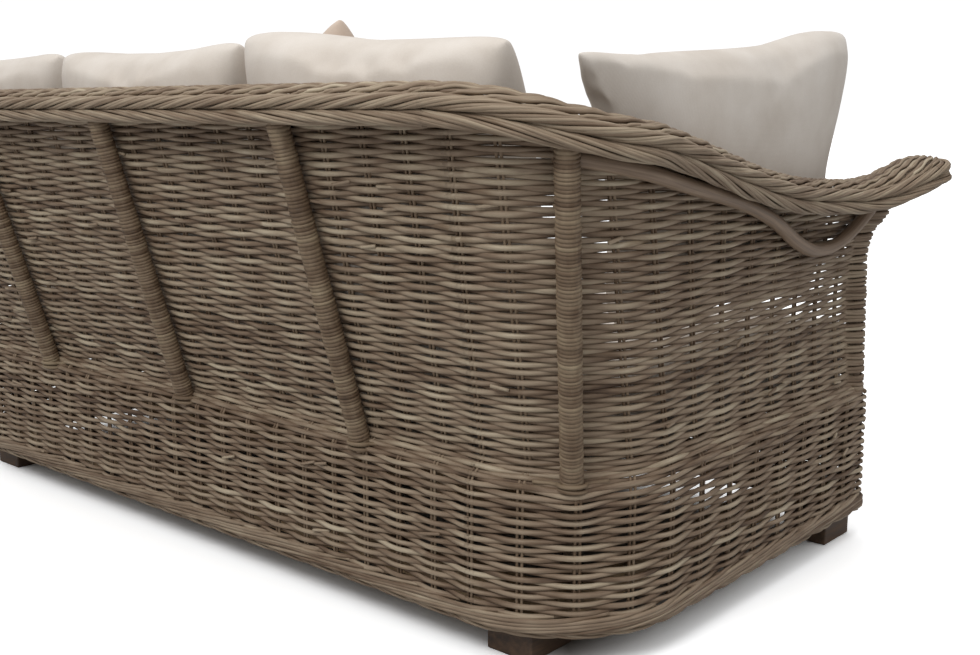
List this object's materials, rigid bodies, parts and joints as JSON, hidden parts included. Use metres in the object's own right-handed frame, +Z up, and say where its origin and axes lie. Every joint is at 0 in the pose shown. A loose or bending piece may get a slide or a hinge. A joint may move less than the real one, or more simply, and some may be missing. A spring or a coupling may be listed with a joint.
{
  "type": "sofa",
  "caption": "Woven rattan garden sofa with a leaning back braced by bound poles, flared arms under a plaited border, boxed seat cushions and loose pillows.",
  "frame": {"origin": "on the floor, under the middle of the sofa's outer size", "axes": "+X to the sitter's left, towards the right-hand arm as seen from the front, +Y towards the back, +Z up"},
  "size_m": [2.1098, 1.0744, 0.9577],
  "materials": {
    "weave": "matt",
    "braid": "matt",
    "binding": "satin",
    "pole": "satin",
    "foot": "stained satin",
    "timber": "sawn",
    "hoop": "satin black",
    "bolt_steel": "plain",
    "cushion": "woven cloth",
    "scatter": "woven cloth"
  },
  "bodies": {
    "root": {"top_rail_back": "pole", "top_rail_arm_left": "pole", "top_rail_arm_right": "pole", "back_post_left": "pole", "back_post_centre": "pole", "back_post_right": "pole", "corner_post_left": "pole", "corner_post_right": "pole", "front_post_left": "pole", "front_post_right": "pole", "arm_bow_left": "pole", "arm_bow_right": "pole", "border_back": "braid", "border_arm_left": "braid", "border_arm_right": "braid", "bottom_braid": "braid", "back_post_binding_left": "binding", "back_post_binding_centre": "binding", "back_post_binding_right": "binding", "corner_post_binding_left": "binding", "corner_post_binding_right": "binding", "foot_rear_left": "foot", "foot_rear_right": "foot", "foot_front_left": "foot", "foot_front_right": "foot", "foot_bolt_rear_left": "bolt_steel", "foot_bolt_rear_right": "bolt_steel", "foot_bolt_front_left": "bolt_steel", "foot_bolt_front_right": "bolt_steel", "base_rail_rear": "timber", "base_rail_front": "timber", "base_rail_side_left": "timber", "base_rail_side_right": "timber", "base_rail_centre": "timber", "seat_rail_front": "timber", "seat_rail_rear": "timber", "seat_slat_1": "timber", "seat_slat_2": "timber", "seat_slat_3": "timber", "seat_slat_4": "timber", "seat_slat_5": "timber", "corner_hoop_left": "hoop", "corner_hoop_right": "hoop", "woven_skirt_rear": "weave", "woven_skirt_front": "weave", "woven_skirt_side_left": "weave", "woven_skirt_side_right": "weave", "woven_back": "weave", "woven_arm_left": "weave", "woven_arm_right": "weave", "seat_cushion_left": "cushion", "seat_cushion_centre": "cushion", "seat_cushion_right": "cushion", "back_pillow_left": "cushion", "back_pillow_centre": "cushion", "back_pillow_right": "cushion", "arm_pillow_left": "cushion", "arm_pillow_right": "cushion", "scatter_pillow": "scatter"}
  },
  "joints": []
}
